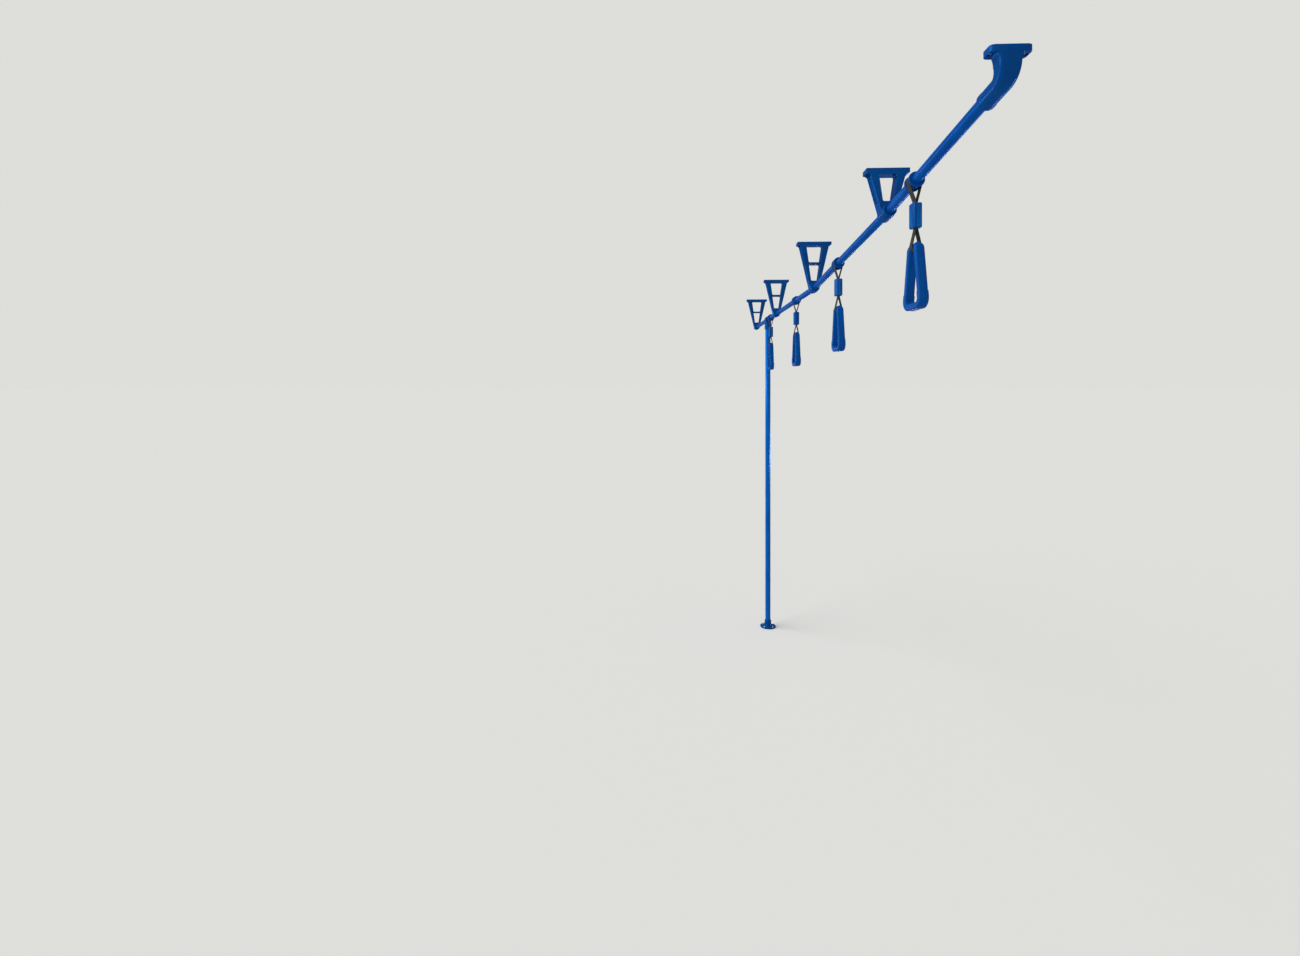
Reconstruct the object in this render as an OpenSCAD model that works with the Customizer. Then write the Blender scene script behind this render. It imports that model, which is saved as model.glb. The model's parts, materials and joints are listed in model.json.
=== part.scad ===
// Overhead grab rail of an airport passenger bus, with its ceiling brackets,
// hanging strap handles and stanchion pole.
// X runs forward along the bus, Y to its left and Z up. The origin is the middle
// of the end bracket's foot, on the ceiling.

/* [Rail] */
// Outer diameter of the rail tube
rail_d = 25; // [20:0.5:30]
// Wall of the rail tube
rail_wall = 2; // [1.5:0.1:3]
// Fall of the first rail length towards the front, in degrees
first_fall = 6.8; // [5:0.1:7.5]
// Radial gap between a tube and the socket or collar round it
fit_gap = 0.1; // [0.05:0.05:0.2]
// Depth that a tube's end enters its socket
tube_entry = 17; // [12:1:18]

/* [Places along the rail] */
// Short bracket, from the end bracket's foot
bracket_1_x = 631; // [600:1:680]
// First tall bracket
bracket_2_x = 1527; // [1500:1:1700]
// Second tall bracket
bracket_3_x = 2487; // [2400:1:2560]
// Last tall bracket, whose front socket takes the next rail length
bracket_4_x = 3324; // [3200:1:3500]
// First hanger
hanger_1_x = 427; // [300:1:480]
// Second hanger
hanger_2_x = 1139; // [900:1:1400]
// Third hanger
hanger_3_x = 1900; // [1800:1:2300]
// Fourth hanger
hanger_4_x = 2684; // [2640:1:2700]
// Stanchion pole
pole_x = 2800; // [2790:1:3100]

/* [End bracket] */
// Width of its foot, across the bus
end_foot_w = 76; // [70:1:110]
// Length of its foot, along the bus
end_foot_l = 32; // [30:1:60]
// Thickness of its foot
end_foot_t = 12; // [8:1:16]
// Radius of the foot's corners
end_foot_r = 8; // [6:1:13]
// Distance from the foot's end to its screw hole
end_screw_inset = 7.5; // [7:0.5:10]
// Straight drop of the arm from the foot to its bend
arm_drop = 18; // [12:1:24]
// Radius of the arm's bend, to its middle line
arm_bend_r = 26; // [24:1:32]
// Straight run of the arm between its bend and the lip
arm_run = 46.5; // [40:0.5:52]
// How far the arm's run and lip sit below the middle of the tube
arm_sink = 3.5; // [0:0.5:4]
// Width of the arm below its flare
arm_w = 41; // [36:1:46]
// How far either side of the arm flares out where it meets the foot
arm_flare = 4; // [1:0.5:5]
// Thickness of the arm at the foot
arm_t = 30; // [26:1:32]
// Corner radius of the arm at the foot
arm_edge_r = 6; // [4:1:12]
// Length of the round lip beyond the arm
end_lip_l = 8; // [4:1:14]

/* [Ceiling brackets] */
// Width of the short bracket's foot
short_foot_w = 120; // [105:1:135]
// Width of a tall bracket's foot
tall_foot_w = 143; // [130:1:160]
// Drop from the ceiling to the tube's middle at a tall bracket
tall_drop = 198; // [190:1:215]
// Depth of a bracket along the bus
bracket_depth = 38; // [32:1:46]
// Height of the foot's edge
foot_edge = 13; // [11:1:18]
// How far a leg starts inside the foot's end
leg_inset = 10; // [6:1:14]
// Width of the short bracket's window at its top
short_window_w = 50; // [40:1:56]
// Width of a tall bracket's window at its top
tall_window_w = 68; // [56:1:74]
// Width of a window at its bottom
window_bottom_w = 30; // [26:1:32]
// Height of the bar above a window
window_top_bar = 17; // [14:1:22]
// Height left under a window, down to the tube's middle
window_sill = 32; // [28:1:40]
// Radius of a window's corners
window_r = 4; // [2:0.5:6]
// Height of the rung across a tall bracket's window
rung_h = 8; // [6:1:12]
// Depth of the channel along a leg's outer side
channel_depth = 4; // [2:0.5:5]
// Width of the rim on either side of the channel
channel_rim = 5; // [4:0.5:8]

/* [Sockets and screws] */
// Wall of a socket round the tube
socket_wall = 6; // [4.5:0.5:8]
// Reach of a socket behind the bracket's middle
socket_rear = 34; // [30:1:42]
// Reach of a socket ahead of the bracket's middle
socket_front = 23; // [22:1:32]
// Thickness of the stop between the two tube ends in a socket
socket_stop = 4; // [3:0.5:6]
// Diameter of a foot's screw holes
screw_hole_d = 6; // [5:0.5:7]
// Diameter of the pocket for a screw's head
screw_pocket_d = 11; // [10:0.5:13]
// Metal under a screw's head
screw_seat_t = 7; // [5:0.5:8]
// Distance from a foot's end to its screw hole
screw_inset = 10; // [9:0.5:12]

/* [Stanchion] */
// Diameter of the stanchion pole
pole_d = 32; // [28:0.5:38]
// Wall of the pole
pole_wall = 2; // [1.5:0.1:3]
// Height of the ceiling above the floor
ceiling_h = 2150; // [1950:1:2300]
// Length of the tee round the rail
tee_l = 64; // [56:1:80]
// Length of the tee's downward socket, from the rail's middle
tee_drop = 62; // [50:1:80]
// Wall of the tee's downward socket
tee_wall = 4.5; // [3.5:0.5:6]
// Diameter of the floor flange
flange_d = 96; // [88:1:120]
// Thickness of the floor flange
flange_t = 7; // [5:1:10]
// Height of the floor flange's socket
flange_socket_h = 42; // [30:1:60]
// Screw circle of the floor flange
flange_screw_circle = 74; // [70:1:78]
// Number of screws in the floor flange
flange_screws = 4; // [4:1:4]

/* [Hanger collar and strap] */
// Width of the collar along the rail
collar_w = 34; // [32:1:40]
// Wall of the collar under the strap
spool_wall = 3; // [2.5:0.5:4]
// Height of the collar's flanges above the strap's seat
flange_rise = 4.5; // [3.5:0.5:6]
// Width of the webbing
web_w = 20; // [16:0.5:22]
// Thickness of the webbing
web_t = 2.2; // [1.6:0.1:2.4]
// Gap between webbing and what it turns on
web_gap = 0.3; // [0.2:0.05:0.5]
// Drop from the rail's middle to the sleeve
strap_drop = 57; // [48:1:62]

/* [Sleeve] */
// Length of the sleeve
sleeve_l = 62; // [50:1:80]
// Width of the sleeve along the rail
sleeve_w = 28; // [25:0.5:32]
// Thickness of the sleeve
sleeve_t = 25; // [20:0.5:28]
// Chamfer along the sleeve's edges and round its ends
sleeve_chamfer = 5; // [3:0.5:6]
// Depth of the grooves between the sleeve's ribs
groove_depth = 0.8; // [0.4:0.1:1.2]

/* [Handle] */
// Drop from the sleeve's end to the handle's top bar
handle_hang = 46; // [38:1:55]
// Drop from the top bar's middle to the grip bar's middle
grip_drop = 148; // [130:1:165]
// Width between the side bars' middle lines at the top
handle_top_w = 39; // [38:1:46]
// Width between the side bars' middle lines at the bottom
handle_bottom_w = 97; // [90:1:120]
// Width of the handle's bar, in the handle's plane
bar_w = 15; // [12:0.5:16]
// Thickness of the handle's bar
bar_t = 24; // [20:0.5:28]
// Radius of the bar's edges
bar_edge_r = 5; // [3:0.5:6]
// Bend radius at the bottom corners, to the middle line
bottom_bend_r = 17; // [12:0.5:22]
// Bend radius at the top corners, to the middle line
top_bend_r = 8.5; // [8.5:0.5:10]
// Diameter of the top bar that the webbing turns on
top_bar_d = 20; // [18:0.5:22]
// How far the grip stands proud of the side bars
grip_swell = 0.9; // [0.4:0.1:1.5]
// Length of the grip along each side bar, above the bend
grip_reach = 12; // [6:1:30]

/* [Hidden] */
$fn = 48;

BLUE = "#0a5cc4";
DARK_BLUE = "#0850ae";
WEB_BLACK = "#1b1c1f";

// Length by which one shape reaches into another that it is joined to, or a cut passes a face
lap = 1;
// Small step between a bend or a ring and the straight that runs over its end
seam = 0.05;
// Largest turn between two points of an outline's arc, in degrees
arc_step = 10;
// How much less than a socket's radius the arm's end and the legs' lower end have, and how
// much more the ball over a kink has
arm_step = 0.6;
leg_step = 0.4;
kink_step = 0.3;
// Inner radius of a webbing loop where its two layers meet
loop_tip_r = 0.4;
rail_r = rail_d / 2;
socket_r = rail_r + socket_wall;
bore_r = rail_r + fit_gap;

// The arm turns from straight down to the first rail length's fall
arm_turn = 90 - first_fall;
bend_top = -end_foot_t - arm_drop;
arm_end = [arm_bend_r * (1 - cos(arm_turn)), bend_top - arm_bend_r * sin(arm_turn)];
fall_dir = [cos(first_fall), -sin(first_fall)];
// Point of the tube's line straight over the end of the bend
tube_start = arm_end + arm_sink * [sin(first_fall), cos(first_fall)];
short_drop = -tube_start.y + (bracket_1_x - tube_start.x) * tan(first_fall);

// Rail corners, as [x, z] of the tube's middle at each fitting
rail_corners = [tube_start + (arm_run + end_lip_l) * fall_dir,
    [bracket_1_x, -short_drop],
    [bracket_2_x, -tall_drop],
    [bracket_3_x, -tall_drop],
    [bracket_4_x, -tall_drop]];

// Brackets, with columns [x, drop, foot width, window width at its top, has a rung]
bracket_table = [
    [bracket_1_x, short_drop, short_foot_w, short_window_w, false],
    [bracket_2_x, tall_drop, tall_foot_w, tall_window_w, true],
    [bracket_3_x, tall_drop, tall_foot_w, tall_window_w, true],
    [bracket_4_x, tall_drop, tall_foot_w, tall_window_w, true]];

// Hangers, with columns [x, number of the rail length that carries it]
hanger_table = [
    [hanger_1_x, 0],
    [hanger_2_x, 1],
    [hanger_3_x, 2],
    [hanger_4_x, 3]];

spool_r = rail_r + spool_wall;
loop_r = spool_r + web_gap;
collar_flange_r = loop_r + flange_rise;
top_bar_r = top_bar_d / 2;
grip_loop_r = top_bar_r + web_gap;
// Half the thickness of the doubled webbing in the sleeve
neck_half = web_t;

// Fall in degrees of rail length i, and height of its middle line at x
function fall(i) = atan((rail_corners[i].y - rail_corners[i + 1].y)
    / (rail_corners[i + 1].x - rail_corners[i].x));
function rail_z(i, x) = rail_corners[i].y - (x - rail_corners[i].x) * tan(fall(i));
function rail_length(i) = norm(rail_corners[i + 1] - rail_corners[i]);

// Outward normal of the line that touches discs a and b, each [x, y, r], on their right
function touch_normal(a, b) =
    let (step = [b.x - a.x, b.y - a.y], far = norm(step), along = step / far,
        side = [along.y, -along.x], lean = (a.z - b.z) / far)
    sqrt(1 - lean * lean) * side + lean * along;

// Flat outline round discs that are listed anticlockwise; a disc of radius 0 is a corner
module disc_outline(discs) {
    count = len(discs);
    polygon([for (i = [0 : count - 1])
        let (d = discs[i],
            into = touch_normal(discs[(i + count - 1) % count], d),
            out = touch_normal(d, discs[(i + 1) % count]),
            start = atan2(into.y, into.x),
            turn = (atan2(out.y, out.x) - start + 720) % 360,
            steps = d.z == 0 ? 0 : ceil(turn / arc_step))
        for (s = [0 : steps])
            let (a = steps == 0 ? start : start + turn * s / steps)
            [d.x + d.z * cos(a), d.y + d.z * sin(a)]]);
}

// Turns a flat outline drawn in Y and Z into a slab that is centred on X
module across(depth) {
    rotate([90, 0, 90])
        linear_extrude(height = depth, center = true) children();
}

// Moves what is drawn along +X onto rail length i, at the place x
module on_rail(i, x) {
    translate([x, 0, rail_z(i, x)])
        rotate([0, fall(i), 0]) children();
}

// Round bar along +X from start to end
module x_rod(r, start, end) {
    translate([start, 0, 0])
        rotate([0, 90, 0]) cylinder(h = end - start, r = r);
}

// End bracket

// Rounded rectangle as points, w wide, t high and with corner radius r
corner_steps = 6;
function round_box(w, t, r) = [for (corner = [0 : 3], s = [0 : corner_steps])
    let (a = 90 * corner + 90 * s / corner_steps,
        sx = (corner == 0 || corner == 3) ? 1 : -1,
        sy = corner < 2 ? 1 : -1)
    [sx * (w / 2 - r) + r * cos(a), sy * (t / 2 - r) + r * sin(a)]];

// Ring of the arm at turn a, or above its bend by rise, or past it by run: it goes from a
// flat section, flared at the foot, to the round of the lip
function arm_ring(a, rise = 0, run = 0) =
    let (share = a / arm_turn,
        flare = 2 * arm_flare * pow(rise / arm_drop, 2),
        w = arm_w + (2 * arm_end_r - arm_w) * share + flare,
        t = arm_t + (2 * arm_end_r - arm_t) * share,
        r = arm_edge_r + (arm_end_r - lap / 10 - arm_edge_r) * share,
        middle = [arm_bend_r * (1 - cos(a)), bend_top + rise - arm_bend_r * sin(a)]
            + run * fall_dir,
        inward = [cos(a), sin(a)])
    [for (p = round_box(w, t, r))
        [middle.x + p.y * inward.x, p.x, middle.y + p.y * inward.y]];

// The swept arm between foot and lip, which ends inside the lip
flare_steps = 4;
arm_steps = 12;
arm_end_r = socket_r - arm_step;
module arm() {
    per_ring = 4 * (corner_steps + 1);
    rings = concat(
        [for (s = [0 : flare_steps - 1]) arm_ring(0, rise = arm_drop * (1 - s / flare_steps))],
        [for (s = [0 : arm_steps]) arm_ring(arm_turn * s / arm_steps)],
        [arm_ring(arm_turn, run = arm_run)]);
    last = len(rings) - 1;
    sides = [for (s = [0 : last - 1], k = [0 : per_ring - 1])
        let (next = (k + 1) % per_ring, low = s * per_ring, high = low + per_ring)
        [low + k, high + k, high + next, low + next]];
    first_cap = [for (k = [0 : per_ring - 1]) k];
    last_cap = [for (k = [per_ring - 1 : -1 : 0]) last * per_ring + k];
    polyhedron(points = [for (ring = rings) each ring],
        faces = concat(sides, [first_cap, last_cap]), convexity = 4);
}

module end_foot() {
    half_w = end_foot_w / 2 - end_foot_r;
    half_l = end_foot_l / 2 - end_foot_r;
    translate([0, 0, -end_foot_t - lap / 2])
        linear_extrude(height = end_foot_t + lap / 2)
            disc_outline([[half_l, half_w, end_foot_r], [-half_l, half_w, end_foot_r],
                [-half_l, -half_w, end_foot_r], [half_l, -half_w, end_foot_r]]);
}

module end_bracket() {
    color(BLUE)
    difference() {
        union() {
            end_foot();
            arm();
            translate([arm_end.x, 0, arm_end.y])
                rotate([0, first_fall, 0])
                    x_rod(socket_r, arm_run - 2 * lap, arm_run + end_lip_l);
        }
        translate([rail_corners[0].x, 0, rail_corners[0].y])
            rotate([0, first_fall, 0]) x_rod(bore_r, -tube_entry, lap);
        for (side = [-1, 1])
            translate([0, side * (end_foot_w / 2 - end_screw_inset), 0])
                foot_screw(end_foot_t);
    }
}

// Cut for a foot's screw: its hole, and the pocket that its head goes up
module foot_screw(reach) {
    translate([0, 0, -reach - lap]) cylinder(h = reach + 2 * lap, d = screw_hole_d);
    translate([0, 0, -reach - lap])
        cylinder(h = reach + lap - screw_seat_t, d = screw_pocket_d);
}

// Ceiling brackets

// The legs' outline ends a little inside the socket
leg_disc_r = socket_r - leg_step;
// Ball that covers the kink between two lengths that fall at different angles
kink_r = socket_r + kink_step;

// Point where a leg's outer edge starts under the foot, and the edge's outward normal
function leg_start(foot_w) = [foot_w / 2 - leg_inset, -foot_edge];
function leg_normal(foot_w, drop) =
    touch_normal([0, -drop, leg_disc_r], [leg_start(foot_w).x, leg_start(foot_w).y, 0]);

module bracket_outline(foot_w, drop) {
    translate([-foot_w / 2, -foot_edge]) square([foot_w, foot_edge]);
    disc_outline([[leg_start(foot_w).x, -foot_edge, 0],
        [-leg_start(foot_w).x, -foot_edge, 0],
        [0, -drop, leg_disc_r]]);
    for (side = [0, 1])
        mirror([side, 0]) flare(foot_w, drop);
}

// Hollow curve between a leg's outer edge and the foot's underside
module flare(foot_w, drop) {
    start = leg_start(foot_w);
    n = leg_normal(foot_w, drop);
    down = [-n.y < 0 ? n.y : -n.y, -n.x];
    between = 90 + asin(abs(n.y));
    radius = leg_inset * tan(between / 2);
    middle = start + [leg_inset, -radius];
    difference() {
        polygon([start + [-lap, lap], start + [leg_inset, lap], start + [leg_inset, 0],
            middle, start + leg_inset * down, start + leg_inset * down + [-lap, 0]]);
        translate(middle) circle(r = radius, $fn = 96);
    }
}

// Window between two heights, its edges on the lines from top to bottom width
module window(top_w, drop, from_z, to_z) {
    top_z = -window_top_bar;
    bottom_z = -drop + window_sill;
    slope = (top_w - window_bottom_w) / 2 / (top_z - bottom_z);
    half_top = top_w / 2 - (top_z - from_z) * slope - window_r;
    half_low = top_w / 2 - (top_z - to_z) * slope - window_r;
    disc_outline([[half_top, from_z - window_r, window_r],
        [-half_top, from_z - window_r, window_r],
        [-half_low, to_z + window_r, window_r],
        [half_low, to_z + window_r, window_r]]);
}

module windows(top_w, drop, has_rung) {
    top_z = -window_top_bar;
    bottom_z = -drop + window_sill;
    rung_z = (top_z + bottom_z) / 2;
    if (has_rung) {
        window(top_w, drop, top_z, rung_z + rung_h / 2);
        window(top_w, drop, rung_z - rung_h / 2, bottom_z);
    } else {
        window(top_w, drop, top_z, bottom_z);
    }
}

// Channel along the outer side of the leg on +Y
module leg_channel(foot_w, drop) {
    start = leg_start(foot_w);
    n = leg_normal(foot_w, drop);
    lean = asin(abs(n.y));
    run = norm([start.x, drop - foot_edge]) - 2 * socket_r;
    translate([0, start.x, start.y])
        rotate([-lean, 0, 0])
            translate([-bracket_depth / 2 + channel_rim, -channel_depth, -run])
                cube([bracket_depth - 2 * channel_rim, channel_depth + leg_inset, run]);
}

// Round socket for two tube ends, which may fall at different angles
module socket(rear_fall, front_fall) {
    if (rear_fall == front_fall) {
        rotate([0, rear_fall, 0]) x_rod(socket_r, -socket_rear, socket_front);
    } else {
        rotate([0, rear_fall, 0]) x_rod(socket_r, -socket_rear, -lap / 2);
        rotate([0, front_fall, 0]) x_rod(socket_r, lap / 2, socket_front);
        sphere(r = kink_r, $fn = 64);
    }
}

// One bracket in place; row is its line in the table and number counts from 1
module ceiling_bracket(number) {
    row = bracket_table[number - 1];
    drop = row[1];
    foot_w = row[2];
    is_last = number == len(bracket_table);
    rear_fall = fall(number - 1);
    front_fall = is_last ? 0 : fall(number);
    color(BLUE)
    translate([row[0], 0, 0])
    difference() {
        union() {
            across(bracket_depth)
                difference() {
                    bracket_outline(foot_w, drop);
                    windows(row[3], drop, row[4]);
                }
            translate([0, 0, -drop]) socket(rear_fall, front_fall);
        }
        for (side = [0, 1])
            mirror([0, side, 0]) {
                leg_channel(foot_w, drop);
                translate([0, foot_w / 2 - screw_inset, 0])
                    foot_screw(foot_edge + 4 * leg_inset);
            }
        translate([0, 0, -drop]) {
            rotate([0, rear_fall, 0])
                x_rod(bore_r, -socket_rear - lap, -socket_stop / 2);
            rotate([0, front_fall, 0])
                x_rod(bore_r, socket_stop / 2, socket_front + lap);
        }
    }
}

// Rail tubes

// Rail length number, seated in the fittings at its ends
module rail_tube(number) {
    i = number - 1;
    start = i == 0 ? -tube_entry : socket_stop / 2;
    end = rail_length(i) - socket_stop / 2;
    color(BLUE)
    translate([rail_corners[i].x, 0, rail_corners[i].y])
        rotate([0, fall(i), 0])
            difference() {
                x_rod(rail_r, start, end);
                x_rod(rail_r - rail_wall, start - lap, end + lap);
            }
}

// Stanchion pole, tee and floor flange

pole_i = 3;
rail_at_pole = rail_z(pole_i, pole_x);
tee_socket_r = pole_d / 2 + tee_wall;
pole_top = rail_at_pole - socket_r - socket_stop / 2;
flange_seat = -ceiling_h + flange_t;

module pole_tee() {
    color(DARK_BLUE)
    translate([pole_x, 0, rail_at_pole])
        difference() {
            union() {
                x_rod(socket_r, -tee_l / 2, tee_l / 2);
                translate([0, 0, -tee_drop]) cylinder(h = tee_drop, r = tee_socket_r);
                sphere(r = tee_socket_r, $fn = 64);
            }
            x_rod(bore_r, -tee_l, tee_l);
            translate([0, 0, -tee_drop - lap])
                cylinder(h = tee_drop + lap + pole_top - rail_at_pole,
                    r = pole_d / 2 + fit_gap);
        }
}

module pole() {
    length = pole_top - flange_seat;
    color(BLUE)
    translate([pole_x, 0, flange_seat])
        difference() {
            cylinder(h = length, d = pole_d);
            translate([0, 0, -lap])
                cylinder(h = length + 2 * lap, d = pole_d - 2 * pole_wall);
        }
}

module floor_flange() {
    wall_r = pole_d / 2 + tee_wall;
    hollow_r = flange_t;
    color(DARK_BLUE)
    translate([pole_x, 0, -ceiling_h])
        difference() {
            union() {
                cylinder(h = flange_t, d = flange_d);
                cylinder(h = flange_socket_h, r = wall_r);
                // Hollow curve from the socket out to the plate
                rotate_extrude()
                    difference() {
                        translate([wall_r - lap, flange_t - lap])
                            square([hollow_r + lap, hollow_r + lap]);
                        translate([wall_r + hollow_r, flange_t + hollow_r])
                            circle(r = hollow_r);
                    }
            }
            translate([0, 0, flange_t])
                cylinder(h = flange_socket_h, r = pole_d / 2 + fit_gap);
            for (k = [0 : flange_screws - 1])
                rotate([0, 0, 360 * (k + 0.5) / flange_screws])
                    translate([flange_screw_circle / 2, 0, -lap])
                        cylinder(h = flange_t + 2 * lap, d = screw_hole_d);
        }
}

// Hangers

// Collar round the rail that the strap turns on, a spool with two rounded flanges
module collar(number) {
    row = hanger_table[number - 1];
    seat_half = web_w / 2 + lap;
    flange_w = collar_w / 2 - seat_half;
    round_r = flange_w / 2;
    color(DARK_BLUE)
    on_rail(row[1], row[0])
        rotate([0, 90, 0])
            rotate_extrude()
                difference() {
                    union() {
                        translate([0, -collar_w / 2]) square([spool_r, collar_w]);
                        for (side = [-1, 1])
                            translate([0, side * (seat_half + flange_w / 2)]) {
                                translate([0, -flange_w / 2])
                                    square([collar_flange_r - round_r, flange_w]);
                                translate([collar_flange_r - round_r, 0])
                                    circle(r = round_r);
                            }
                    }
                    translate([-lap, -collar_w]) square([bore_r + lap, 2 * collar_w]);
                }
}

// Place of the strap's neck under the collar; the strap hangs straight down from it
function neck(number) =
    let (row = hanger_table[number - 1], tilt = fall(row[1]))
    [row[0] - strap_drop * sin(tilt), rail_z(row[1], row[0]) - strap_drop * cos(tilt)];

module at_neck(number) {
    translate([neck(number).x, 0, neck(number).y]) children();
}

// Loop of webbing from round a bar of radius r, at the origin, to a neck far below it;
// a neck above it has a negative drop
module web_loop(r, drop) {
    across(web_w)
        difference() {
            disc_pair(r + web_t, loop_tip_r + web_t, drop);
            disc_pair(r, loop_tip_r, drop);
        }
}

// Outline round a disc at the origin and a small one below it, or above it
module disc_pair(r, tip_r, drop) {
    mirror([0, drop < 0 ? 1 : 0])
        disc_outline([[0, 0, r], [0, -abs(drop), tip_r]]);
}

// Webbing in one piece: round the collar, through the sleeve and round the top bar
module strap(number) {
    row = hanger_table[number - 1];
    color(WEB_BLACK)
    union() {
        on_rail(row[1], row[0]) web_loop(loop_r, strap_drop);
        at_neck(number) {
            translate([-web_w / 2, -neck_half, -sleeve_l])
                cube([web_w, 2 * neck_half, sleeve_l]);
            translate([0, 0, -sleeve_l - handle_hang])
                web_loop(grip_loop_r, -handle_hang);
        }
    }
}

// Outline w wide and h high with its corners cut at 45 degrees
module cut_corners(w, h, cut) {
    polygon([[w / 2 - cut, h / 2], [-w / 2 + cut, h / 2],
        [-w / 2, h / 2 - cut], [-w / 2, -h / 2 + cut],
        [-w / 2 + cut, -h / 2], [w / 2 - cut, -h / 2],
        [w / 2, -h / 2 + cut], [w / 2, h / 2 - cut]]);
}

// Sleeve that gathers the webbing, with lengthwise ribs
module sleeve(number) {
    mouth = web_t + lap;
    groove_w = 2;
    groove_l = sleeve_l - 3 * sleeve_chamfer;
    color(BLUE)
    at_neck(number)
        translate([0, 0, -sleeve_l / 2])
            difference() {
                intersection() {
                    linear_extrude(height = sleeve_l, center = true)
                        cut_corners(sleeve_w, sleeve_t, sleeve_chamfer);
                    across(2 * sleeve_w) cut_corners(sleeve_t, sleeve_l, sleeve_chamfer / 2);
                    rotate([90, 0, 0])
                        linear_extrude(height = 2 * sleeve_t, center = true)
                            cut_corners(sleeve_w, sleeve_l, sleeve_chamfer / 2);
                }
                cube([web_w + 2 * web_gap, 2 * (neck_half + fit_gap), sleeve_l + 2 * lap],
                    center = true);
                // The mouths, where the two webs part
                for (side = [-1, 1])
                    translate([0, 0, side * sleeve_l / 2])
                        cube([web_w + 2 * web_gap, 2 * mouth, 2 * web_t], center = true);
                for (side = [-1, 1], place = [-1, 1]) {
                    translate([side * sleeve_w / 2, place * sleeve_t / 7, 0])
                        cube([2 * groove_depth, groove_w, groove_l], center = true);
                    translate([place * sleeve_w / 7, side * sleeve_t / 2, 0])
                        cube([groove_w, 2 * groove_depth, groove_l], center = true);
                }
            }
}

// Handle, drawn flat with its top bar's middle at the origin

side_lean = atan((handle_bottom_w - handle_top_w) / 2 / grip_drop);
bottom_cut = bottom_bend_r * tan((90 + side_lean) / 2);
top_cut = top_bend_r * tan((90 - side_lean) / 2);
bottom_middle = [handle_bottom_w / 2 - bottom_cut, -grip_drop + bottom_bend_r];
top_middle = [handle_top_w / 2 - top_cut, -top_bend_r];
side_out = [cos(side_lean), sin(side_lean)];
side_start = bottom_middle + bottom_bend_r * side_out;
side_end = top_middle + top_bend_r * side_out;
// How far a straight runs over the end of the bend beside it
over = 0.3;

// Section of the handle's bar, grown by swell on every side
module bar_section(swell) {
    w = bar_w + 2 * swell;
    t = bar_t + 2 * swell;
    r = bar_edge_r;
    disc_outline([[w / 2 - r, t / 2 - r, r], [-w / 2 + r, t / 2 - r, r],
        [-w / 2 + r, -t / 2 + r, r], [w / 2 - r, -t / 2 + r, r]]);
}

// Bend of the bar about a point in the handle's plane
module bar_bend(middle, bend_r, from_angle, turn, swell) {
    translate([middle.x, middle.y, 0])
        rotate([0, 0, from_angle])
            rotate_extrude(angle = turn, $fn = 72)
                translate([bend_r, 0]) bar_section(swell);
}

// Straight bar along the handle's side, between two distances from its lower end
module side_bar(start, end, swell) {
    translate([side_start.x, side_start.y, 0])
        rotate([0, 0, side_lean])
            translate([0, start, 0])
                rotate([-90, 0, 0])
                    linear_extrude(height = end - start) bar_section(swell);
}

module handle(number) {
    color(BLUE)
    at_neck(number)
        translate([0, 0, -sleeve_l - handle_hang])
            rotate([90, 0, 0]) {
                for (side = [0, 1])
                    mirror([side, 0, 0]) {
                        bar_bend(bottom_middle, bottom_bend_r, -90, 90 + side_lean,
                            grip_swell - seam);
                        side_bar(-over, grip_reach, grip_swell);
                        side_bar(grip_reach / 2, norm(side_end - side_start) + over, 0);
                        bar_bend(top_middle, top_bend_r, side_lean, 90 - side_lean, -seam);
                    }
                translate([0, -grip_drop, 0])
                    rotate([0, 90, 0])
                        linear_extrude(height = 2 * (bottom_middle.x + over), center = true)
                            rotate(90) bar_section(grip_swell);
                x_rod(top_bar_r, -top_middle.x - lap, top_middle.x + lap);
            }
}

end_bracket();
ceiling_bracket(1);  // bracket_1
ceiling_bracket(2);  // bracket_2
ceiling_bracket(3);  // bracket_3
ceiling_bracket(4);  // bracket_4
rail_tube(1);  // rail_tube_1
rail_tube(2);  // rail_tube_2
rail_tube(3);  // rail_tube_3
rail_tube(4);  // rail_tube_4
pole_tee();
pole();
floor_flange();
collar(1);  // collar_1
strap(1);  // strap_1
sleeve(1);  // sleeve_1
handle(1);  // handle_1
collar(2);  // collar_2
strap(2);  // strap_2
sleeve(2);  // sleeve_2
handle(2);  // handle_2
collar(3);  // collar_3
strap(3);  // strap_3
sleeve(3);  // sleeve_3
handle(3);  // handle_3
collar(4);  // collar_4
strap(4);  // strap_4
sleeve(4);  // sleeve_4
handle(4);  // handle_4
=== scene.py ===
"""Looks of the overhead grab rail of an airport passenger bus.

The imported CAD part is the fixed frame. Each class below dresses one sub-assembly: the rail tubes,
the pole, the cast fittings, their screws, and the hanging strap handles. Sizes in the classes are
in millimetres, and meshes are made in metres, in the part's frame: +X forward along the bus, +Y to
its left, +Z up, with the ceiling at z = 0.
"""

import json
import logging
import math
from abc import ABC, abstractmethod
from collections.abc import Callable, Sequence
from dataclasses import dataclass
from enum import Enum
from typing import Any, NamedTuple

import bmesh
import bpy
from bpy.types import ID, Material, Mesh, Node, NodeSocket, NodeTree, Object
from mathutils import Euler, Matrix, Vector

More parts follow.
